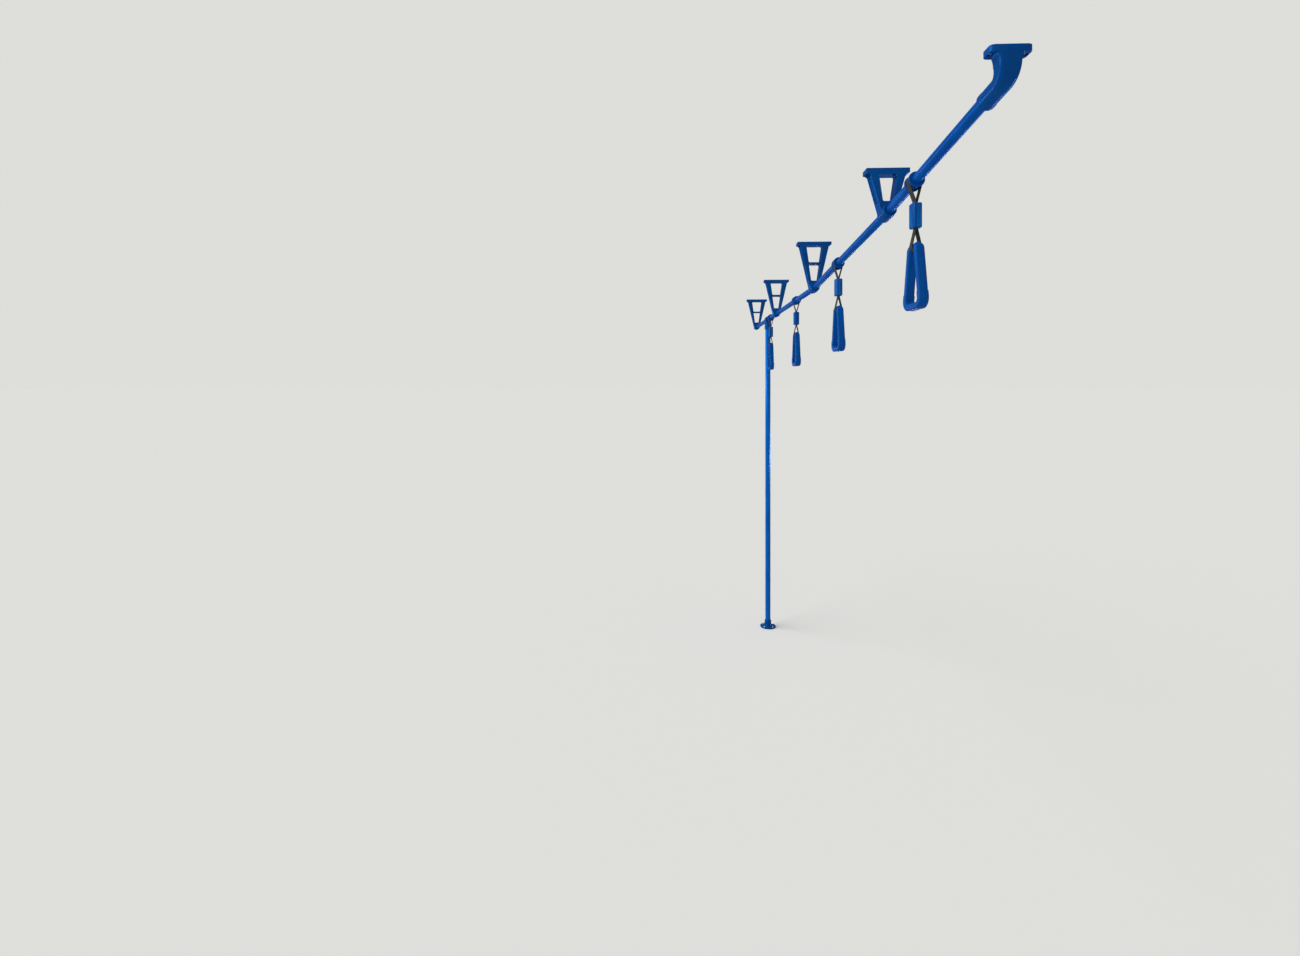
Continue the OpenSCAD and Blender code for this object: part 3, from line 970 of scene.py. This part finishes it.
@dataclass(frozen=True)
class Stanchion:
    """The upright pole between tee and floor flange."""

    # Its coat is the rail's, painted lighter as painted light
    tube: SteelTube = SteelTube(32.0, 80, POLE_COAT_PAINTED_LIGHTER)

    def build(self, tree: NodeTree) -> None:
        """Grow the pole between its node's ends.

        Args:
            tree: The tube's tree.
        """
        low, high = (Vector(corner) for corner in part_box("pole"))
        middle = (low + high) / 2
        start = Vector((middle.x, middle.y, low.z))
        end = Vector((middle.x, middle.y, high.z))
        pole = self.tube.make(tree, "steel_pole", start, end)
        finished(pole, self.tube.coat, Body.RAIL.value, ["pole"])


@dataclass(frozen=True)
class Casting:
    """A die-cast fitting, whose edges and inner corners are rounded as a mould leaves them.

    The CAD solid is skinned anew on a fine grid and relaxed, which rounds every edge and fillets
    every inner corner by about two steps of the grid. Its flat faces then keep only the share of
    triangles that they need.
    """

    node: str
    piece: str
    grid: float = 1.0
    relaxing: int = 6
    relaxed_share: float = 0.5
    kept: float = 0.35

    def build(self, frame: Frame) -> None:
        """Make the fitting in place of its node.

        Args:
            frame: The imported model.
        """
        body = merged_copy(frame["nodes"][self.node], self.piece)
        steps = (
            ("skin", "REMESH", {"mode": "VOXEL", "voxel_size": self.grid * MM}),
            ("relax", "SMOOTH", {"factor": self.relaxed_share, "iterations": self.relaxing}),
            ("thin", "DECIMATE", {"ratio": self.kept}),
        )
        for name, kind, settings in steps:
            modifier = body.modifiers.new(name, kind)
            for setting, value in settings.items():
                setattr(modifier, setting, value)
        made = applied(body, self.piece)
        made.data.shade_smooth()
        finished(made, FITTING_COAT, Body.RAIL.value, [self.node])


CASTINGS = (
    Casting("end_bracket", "cast_end_bracket", grid=0.8),
    Casting("bracket_1", "cast_short_bracket"),
    Casting("bracket_2", "cast_tall_bracket_1"),
    Casting("bracket_3", "cast_tall_bracket_2"),
    Casting("bracket_4", "cast_tall_bracket_3"),
    Casting("pole_tee", "cast_pole_tee", grid=0.7, relaxing=8),
    Casting("floor_flange", "cast_floor_flange", grid=0.7, relaxing=8),
)


@dataclass(frozen=True)
class Screws:
    """Domed socket screws in the feet's pockets and on the floor flange."""

    head_diameter: float = 9.6
    head_height: float = 3.2
    # Share of the head's radius and of its height at each ring of its dome
    dome: tuple[Point2, ...] = ((1.0, 0.0), (1.0, 0.25), (0.93, 0.55), (0.78, 0.82), (0.6, 0.97))
    socket_width: float = 3.6
    socket_depth: float = 2.0
    socket_lip: float = 0.15
    lip_depth: float = 0.2
    metal_under_head: float = 7.0
    flange_thickness: float = 7.0
    sides: int = 30
    seed: int = 3

    def head(self) -> Object:
        """Make one head, which stands at z = 0 and points along Z.

        Returns:
            The head, which is removed once its copies are placed.
        """
        outer, socket, top = self.head_diameter / 2, self.socket_width / 2, self.head_height
        rings = [self.ring(wide * outer, high * top, False) for wide, high in self.dome]
        rings.append(self.ring(socket + self.socket_lip, top, True))
        rings.append(self.ring(socket, top - self.lip_depth, True))
        rings.append(self.ring(socket, top - self.socket_depth, True))
        return skin("screw_head", rings)

    def ring(self, radius: float, height: float, six_sided: bool) -> list[Vector]:
        """Points round the head's axis.

        Args:
            radius: Radius, or half the width across flats.
            height: Height above the head's underside.
            six_sided: Whether the ring is a hexagon.

        Returns:
            The ring, in metres.
        """
        points = []
        for k in range(self.sides):
            a = TURN * k / self.sides
            off_flat = (a + TURN / 12) % (TURN / 6) - TURN / 12
            reach = radius / math.cos(off_flat) if six_sided else radius
            points.append(Vector((reach * math.cos(a), reach * math.sin(a), height)) * MM)
        return points

    def build(self, frame: Frame) -> None:
        """Set the heads where the record's screw mounts are.

        Args:
            frame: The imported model.
        """
        head = self.head()
        tree = screw_tree()
        under, upright = [], []
        for mount in frame["record"]["mounts"]:
            if mount["kind"] != "bolt_pattern":
                continue
            place = Vector(mount["pos_m"])
            if "spacing_y_mm" in mount["dims"]:
                reach = LEFT * mount["dims"]["spacing_y_mm"] / 2 * MM
                level = place + DOWN * self.metal_under_head * MM
                under += [level + side * reach for side in (-1, 1)]
            else:
                upright += self.on_flange(place, mount["dims"])
        groups = (("ceiling_screws", under, math.pi), ("floor_screws", upright, 0.0))
        for name, points, tilt in groups:
            steel = SCREW_STEEL.material()
            values = {"Head": head, "Tilt": tilt, "Seed": self.seed, "Finish": steel}
            screws = grown(tree, name, values, points)
            shade(screws.data)
            finished(screws, SCREW_STEEL, Body.RAIL.value)
        bpy.data.objects.remove(head)

    def on_flange(self, place: Vector, dims: dict[str, float]) -> list[Vector]:
        """Places of the heads on the floor flange.

        Args:
            place: Middle of the flange's underside, in metres.
            dims: The mount's sizes.

        Returns:
            A point on the flange's top for each screw.
        """
        count, radius, top = int(dims["count"]), dims["pcd_mm"] / 2, self.flange_thickness
        turns = [TURN * (k + 0.5) / count for k in range(count)]
        around = [Vector((radius * math.cos(a), radius * math.sin(a), top)) for a in turns]
        return [place + point * MM for point in around]


class Station(NamedTuple):
    """A place on the handle's middle line, and what the bar is like there."""

    place: Point2
    out: Point2
    swell: float
    round_share: float


def smooth(share: float) -> float:
    """Ease a share from 0 to 1 in and out."""
    return share * share * (3 - 2 * share)


@dataclass(frozen=True)
class HandleRing:
    """The moulded handle: a ring of flattened bar with a raised grip and a round top bar."""

    grip_drop: float = 148.0
    top_width: float = 39.0
    bottom_width: float = 97.0
    bar_width: float = 15.0
    bar_thickness: float = 24.0
    edge_radius: float = 5.0
    edge_steps: int = 6
    bottom_bend: float = 17.0
    bottom_bend_steps: int = 18
    top_bend: float = 8.5
    top_bend_steps: int = 12
    bar_steps: int = 3
    top_bar_diameter: float = 20.0
    swell: float = 0.9
    grip_reach: float = 12.0
    grip_step: float = 0.35
    seam_height: float = 0.18
    seam_width: float = 0.9

    def build(self, name: str, bar: Vector) -> Object:
        """Make the handle, hanging from its top bar.

        Args:
            name: The piece's name.
            bar: Middle of the top bar, in metres.

        Returns:
            The handle.
        """
        half = self.half_path()
        other_half = [
            Station((-s.place[0], s.place[1]), (-s.out[0], s.out[1]), s.swell, s.round_share)
            for s in reversed(half[1:-1])
        ]
        rings = []
        for station in half + other_half:
            middle = bar + Vector((station.place[0], 0, station.place[1])) * MM
            out = Vector((station.out[0], 0, station.out[1]))
            section = self.section(station.swell, station.round_share)
            rings.append([middle + (out * a + LEFT * b) * MM for a, b in section])
        return skin(name, rings, joined_ends=True)

    def half_path(self) -> list[Station]:
        """Follow the bar from the middle of the top to the middle of the bottom, on one side.

        Returns:
            The stations, in order.
        """
        quarter = math.pi / 2
        lean = math.atan((self.bottom_width - self.top_width) / 2 / self.grip_drop)
        low_cut = self.bottom_bend * math.tan((quarter + lean) / 2)
        top_cut = self.top_bend * math.tan((quarter - lean) / 2)
        low = Vector((self.bottom_width / 2 - low_cut, -self.grip_drop + self.bottom_bend))
        top = Vector((self.top_width / 2 - top_cut, -self.top_bend))
        out = Vector((math.cos(lean), math.sin(lean)))
        bar = self.bar_steps
        stations = [Station((top.x * s / bar, 0.0), (0.0, 1.0), 0.0, 1.0) for s in range(bar)]
        for s in range(self.top_bend_steps + 1):
            a = quarter + (lean - quarter) * s / self.top_bend_steps
            direction = Vector((math.cos(a), math.sin(a)))
            place = top + direction * self.top_bend
            flattened = smooth(s / self.top_bend_steps)
            stations.append(Station(tuple(place), tuple(direction), 0.0, 1 - flattened))
        side_top = top + out * self.top_bend
        side_low = low + out * self.bottom_bend
        length = (side_top - side_low).length
        reach, step = self.grip_reach, self.grip_step
        # Distance from the side's low end, and share of the grip's swell there
        for from_low, swell in (
            (0.75 * length, 0.0),
            (0.5 * length, 0.0),
            (reach + 4, 0.0),
            (reach + step, 0.0),
            (reach + step / 2, 0.15),
            (reach - step / 2, 0.85),
            (reach - step, 1.0),
            (reach - 3, 1.0),
        ):
            place = side_low.lerp(side_top, from_low / length)
            stations.append(Station(tuple(place), tuple(out), swell, 0.0))
        for s in range(self.bottom_bend_steps + 1):
            a = lean + (-quarter - lean) * s / self.bottom_bend_steps
            direction = Vector((math.cos(a), math.sin(a)))
            place = low + direction * self.bottom_bend
            stations.append(Station(tuple(place), tuple(direction), 1.0, 0.0))
        for s in reversed(range(bar)):
            stations.append(Station((low.x * s / bar, -self.grip_drop), (0.0, -1.0), 1.0, 0.0))
        return stations

    def section(self, swell: float, round_share: float) -> list[Point2]:
        """Section of the bar, outwards and across, with the mould's parting seam.

        Args:
            swell: Share of the grip's swell, from 0 to 1.
            round_share: Share of the round top bar, from 0 to 1.

        Returns:
            Points round the section, in millimetres.
        """
        grow = self.swell * swell
        a, b = self.bar_width / 2 + grow, self.bar_thickness / 2 + grow
        r = self.edge_radius
        box = rounded([(a, -b, r), (a, b, r), (-a, b, r), (-a, -b, r)], self.edge_steps)
        one, two, three = (k * (self.edge_steps + 1) for k in (1, 2, 3))
        seam, flat = self.seam_width / 2, (b - r) / 2
        raised = self.seam_height * (1 - round_share)
        ridge = [(-flat, 0.0), (-seam, 0.0), (0.0, raised), (seam, 0.0), (flat, 0.0)]
        cap = [-(a - r) * 0.5, (a - r) * 0.5]
        points = box[:one] + [(a + up, place) for place, up in ridge] + box[one:two]
        points += [(-x, b) for x in cap] + box[two:three]
        points += [(-a - up, -place) for place, up in ridge] + box[three:]
        points += [(x, -b) for x in cap]
        radius = self.top_bar_diameter / 2
        blended = []
        for x, y in points:
            angle = math.atan2(y / b, x / a)
            round_x, round_y = radius * math.cos(angle), radius * math.sin(angle)
            blended.append((x + (round_x - x) * round_share, y + (round_y - y) * round_share))
        return blended


@dataclass(frozen=True)
class Hanger:
    """One hanging strap handle: collar, webbing, sleeve and handle."""

    number: int
    rail_diameter: float = 25.0
    fit_gap: float = 0.1
    collar_width: float = 34.0
    collar_sides: int = 64
    spool_wall: float = 3.0
    flange_rise: float = 4.5
    flange_round: float = 2.4
    bore_round: float = 0.6
    spool_round: float = 0.8
    web_width: float = 20.0
    web_thickness: float = 2.2
    web_edge_round: float = 0.45
    web_strips: int = 8
    web_gap: float = 0.3
    web_side_gap: float = 1.0
    strap_drop: float = 57.0
    straight_steps: int = 6
    loop_steps: int = 22
    sleeve_length: float = 62.0
    sleeve_edge: float = 0.6
    sleeve_edge_steps: int = 3
    handle_hang: float = 46.0
    handle: HandleRing = HandleRing()

    @property
    def loop_radius(self) -> float:
        """Inner radius of the webbing round the collar."""
        return self.rail_diameter / 2 + self.spool_wall + self.web_gap

    def build(self, frame: Frame) -> None:
        """Make the hanger's pieces on its two bodies.

        Args:
            frame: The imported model.
        """
        anchor, axis = hinge(frame, f"strap_swing_{self.number}")
        bar, _ = hinge(frame, f"handle_swing_{self.number}")
        strap_body = Body.STRAP.value.format(self.number)
        handle_body = Body.HANDLE.value.format(self.number)
        collar = self.collar(anchor, axis)
        finished(collar, NYLON, Body.RAIL.value, [f"collar_{self.number}"])
        strap = self.strap(anchor, axis, bar)
        webbing = WovenWebbing("black_polyester_webbing", self.web_width)
        finished(strap, webbing, strap_body, [f"strap_{self.number}"])
        sleeve = self.sleeve(frame)
        finished(sleeve, NYLON, strap_body, [f"sleeve_{self.number}"])
        handle = self.handle.build(f"moulded_handle_{self.number}", bar)
        finished(handle, NYLON, handle_body, [f"handle_{self.number}"])

    def collar(self, anchor: Vector, axis: Vector) -> Object:
        """Turn the collar's section round the rail.

        Args:
            anchor: Middle of the collar, in metres.
            axis: The rail's direction.

        Returns:
            The collar.
        """
        bore = self.rail_diameter / 2 + self.fit_gap
        spool = self.rail_diameter / 2 + self.spool_wall
        top = self.loop_radius + self.flange_rise
        half = self.collar_width / 2
        groove = self.web_width / 2 + self.web_side_gap
        corner_steps = 5
        outline = rounded(
            [
                (-half, bore, self.bore_round),
                (half, bore, self.bore_round),
                (half, top, self.flange_round),
                (groove, top, self.flange_round),
                (groove, spool, self.spool_round),
                (-groove, spool, self.spool_round),
                (-groove, top, self.flange_round),
                (-half, top, self.flange_round),
            ],
            corner_steps,
        )
        placed = from_axis(anchor, axis)
        rings = []
        for k in range(self.collar_sides):
            a = TURN * k / self.collar_sides
            ring = [Vector((y * math.cos(a), y * math.sin(a), x)) for x, y in outline]
            rings.append([placed @ (point * MM) for point in ring])
        return skin(f"nylon_collar_{self.number}", rings, joined_ends=True)

    def leg(self, radius: float, drop: float) -> list[Point2]:
        """Half of a webbing loop: from the neck to the far side of what it turns on.

        Args:
            radius: Radius of the webbing's middle round what it turns on.
            drop: Distance from the neck to that middle.

        Returns:
            Points as sideways place and distance from the middle of the loop towards the neck.
        """
        near = self.web_thickness / 2
        far = math.hypot(near, drop)
        tilt = math.acos(radius / far) + math.atan2(near, drop)
        touch_y, touch_d = radius * math.sin(tilt), radius * math.cos(tilt)
        points, count = [], self.straight_steps
        for s in range(count):
            y, d = near + (touch_y - near) * s / count, drop + (touch_d - drop) * s / count
            points.append((y, d))
        for s in range(self.loop_steps + 1):
            a = tilt + (math.pi - tilt) * s / self.loop_steps
            points.append((radius * math.sin(a), radius * math.cos(a)))
        return points

    def strap(self, anchor: Vector, axis: Vector, bar: Vector) -> Object:
        """Lay one closed band of webbing round collar and handle, through the sleeve.

        Args:
            anchor: Middle of the collar, in metres.
            axis: The rail's direction.
            bar: Middle of the handle's top bar.

        Returns:
            The strap.
        """
        rail_down = axis.cross(LEFT).normalized()
        if rail_down.z > 0:
            rail_down.negate()
        neck = anchor + rail_down * self.strap_drop * MM
        low_neck = neck + DOWN * self.sleeve_length * MM
        upper = [
            (anchor + LEFT * y * MM + rail_down * d * MM, axis)
            for y, d in self.leg(self.loop_radius + self.web_thickness / 2, self.strap_drop)
        ]
        bar_reach = self.handle.top_bar_diameter / 2 + self.web_gap + self.web_thickness / 2
        lower = [
            (bar + LEFT * y * MM + UP * d * MM, FORWARD)
            for y, d in self.leg(bar_reach, self.handle_hang)
        ]
        side = LEFT * self.web_thickness / 2 * MM
        shares = [s / self.straight_steps for s in range(1, self.straight_steps)]
        middle = [(neck.lerp(low_neck, t) + side, axis.lerp(FORWARD, t)) for t in shares]
        half = list(reversed(upper)) + middle + lower
        mirrored = [(Vector((p.x, -p.y, p.z)), w) for p, w in reversed(half[1:-1])]
        return self.band(half + mirrored)

    def band(self, path: Sequence[tuple[Vector, Vector]]) -> Object:
        """Sweep the webbing's flat section along a closed path.

        Args:
            path: Points of the webbing's middle, each with the direction of its width.

        Returns:
            The band, with UV in millimetres.
        """
        w, t = self.web_width / 2, self.web_thickness / 2
        edge = self.web_edge_round * self.web_thickness
        flat = [w * (1 - 2 * s / self.web_strips) for s in range(1, self.web_strips)]
        corner_steps = 2
        corners = [(w, t, edge), (-w, t, edge), (-w, -t, edge), (w, -t, edge)]
        box = rounded(corners, corner_steps)
        one, three = corner_steps + 1, 3 * (corner_steps + 1)
        section = box[:one] + [(x, t) for x in flat] + box[one:three]
        section += [(-x, -t) for x in flat] + box[three:]
        rings, along = [], [0.0]
        count = len(path)
        for i, (point, width) in enumerate(path):
            ahead, behind = path[(i + 1) % count][0], path[i - 1][0]
            across = width.normalized()
            normal = across.cross(ahead - behind).normalized()
            rings.append([point + (across * x + normal * y) * MM for x, y in section])
            along.append(along[-1] + (ahead - point).length / MM)
        offsets = [x for x, _ in section] + [section[0][0]]
        return skin(
            f"webbing_strap_{self.number}",
            rings,
            joined_ends=True,
            uv=lambda ring, point: (offsets[point], along[ring]),
        )

    def sleeve(self, frame: Frame) -> Object:
        """Round the edges of the sleeve's solid.

        Args:
            frame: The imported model.

        Returns:
            The sleeve.
        """
        flat_angle, edge_angle, crease_angle = 2, 25, 30
        name = f"ribbed_sleeve_{self.number}"
        body = merged_copy(frame["nodes"][f"sleeve_{self.number}"], name)
        work = bmesh.new()
        work.from_mesh(body.data)
        limit = math.radians(flat_angle)
        bmesh.ops.dissolve_limit(work, angle_limit=limit, verts=work.verts, edges=work.edges)
        work.to_mesh(body.data)
        work.free()
        bevel = body.modifiers.new("eased_edges", "BEVEL")
        bevel.width = self.sleeve_edge * MM
        bevel.segments = self.sleeve_edge_steps
        bevel.limit_method = "ANGLE"
        bevel.angle_limit = math.radians(edge_angle)
        made = applied(body, name)
        shade(made.data, crease_angle)
        return made


@dataclass(frozen=True)
class StripLamp:
    """A long soft lamp that only gloss shows.

    The tubes mirror it as a line from end to end, while the floor and the blue's own level get
    nothing from it. Its place, aim and size are in metres.
    """

    name: str
    place: Point3
    aim: Point3
    size: Point2
    power: float

    def hang(self) -> None:
        """Hang the lamp."""
        lamp = bpy.data.lights.new(self.name, "AREA")
        lamp.shape = "RECTANGLE"
        lamp.size, lamp.size_y = self.size
        lamp.energy = self.power
        holder = linked(self.name, lamp)
        holder.location = self.place
        holder.rotation_euler = turned_to(Vector(self.aim) - Vector(self.place))
        holder.visible_camera = False
        holder.visible_diffuse = False


@dataclass(frozen=True)
class Studio:
    """Pale floor, plain backdrop, soft lamps and the camera."""

    floor_z: float = -2150.0
    # In metres, so far that the floor's edge is lost in the backdrop
    floor_reach: float = 400.0
    eye: Point3 = (-1131.0, 603.0, -605.0)
    yaw: float = 2.15
    focal_length: float = 17.0
    sensor: float = 36.0
    image_width: int = 1300
    horizon_above_middle: float = 94.4
    nearest: float = 20.0
    backdrop: str = "#dededb"
    fill: float = 0.42
    key: float = 2.6
    key_angle: float = 60.0
    key_way: Point3 = (0.12, -0.8, -0.58)
    strips: tuple[StripLamp, ...] = (
        StripLamp("left_strip_lamp", (7.0, 2.6, -0.3), (7.0, 0, -0.1), (14.0, 0.3), 90.0),
        StripLamp("right_strip_lamp", (7.0, -2.8, -1.4), (7.0, 0, -0.1), (14.0, 0.15), 260.0),
    )

    def build(self) -> None:
        """Make the stage, the lamps and the camera."""
        self.floor()
        self.world()
        self.lamps()
        self.camera()

    def floor(self) -> None:
        """Lay the floor that the pole stands on."""
        reach = self.floor_reach / 2
        z = self.floor_z * MM
        mesh = bpy.data.meshes.new("studio_floor")
        corners = [(x * reach, y * reach, z) for x, y in ((-1, -1), (1, -1), (1, 1), (-1, 1))]
        mesh.from_pydata(corners, [], [(0, 1, 2, 3)])
        floor = linked("studio_floor", mesh)
        mesh.materials.append(FLOOR.material())

    def world(self) -> None:
        """Give the world a soft, even light and a pale backdrop, which reflections show too."""
        world = bpy.data.worlds.new("studio")
        bpy.context.scene.world = world
        world.use_nodes = True
        tree = world.node_tree
        tree.nodes.clear()
        ray = add_node(tree, "ShaderNodeLightPath").outputs
        even = {"Color": linear("#ffffff"), "Strength": self.fill}
        surface = add_node(tree, "ShaderNodeBackground", even).outputs["Background"]
        pale = add_node(tree, "ShaderNodeBackground", {"Color": linear(self.backdrop)})
        for rays in ("Is Camera Ray", "Is Glossy Ray", "Is Transmission Ray"):
            shares = {0: ray[rays], 1: surface, 2: pale.outputs["Background"]}
            surface = add_node(tree, "ShaderNodeMixShader", shares).outputs["Shader"]
        add_node(tree, "ShaderNodeOutputWorld", {"Surface": surface})

    def lamps(self) -> None:
        """Hang a strip lamp at either side for the gloss, and a broad key from the left."""
        for strip in self.strips:
            strip.hang()
        key = bpy.data.lights.new("key_light", "SUN")
        key.energy = self.key
        key.angle = math.radians(self.key_angle)
        linked("key_light", key).rotation_euler = turned_to(Vector(self.key_way))

    def camera(self) -> None:
        """Stand the camera where the photograph was taken."""
        lens = bpy.data.cameras.new("camera")
        lens.lens = self.focal_length
        lens.sensor_width = self.sensor
        lens.shift_y = -self.horizon_above_middle / self.image_width
        lens.clip_start = self.nearest * MM
        holder = linked("camera", lens)
        holder.location = Vector(self.eye) * MM
        yaw = math.radians(self.yaw)
        holder.rotation_euler = turned_to(Vector((math.cos(yaw), math.sin(yaw), 0)))
        bpy.context.scene.camera = holder
        bpy.context.scene.view_settings.view_transform = "Standard"


def main() -> None:
    """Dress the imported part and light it."""
    logging.basicConfig(level=logging.INFO, format="%(name)s: %(message)s")
    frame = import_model()
    tubes = tube_tree()
    RailTubes().build(frame, tubes)
    Stanchion().build(tubes)
    for casting in CASTINGS:
        casting.build(frame)
    Screws().build(frame)
    for number in range(1, HANGERS + 1):
        Hanger(number).build(frame)
    Studio().build()


if __name__ == "__main__":
    main()
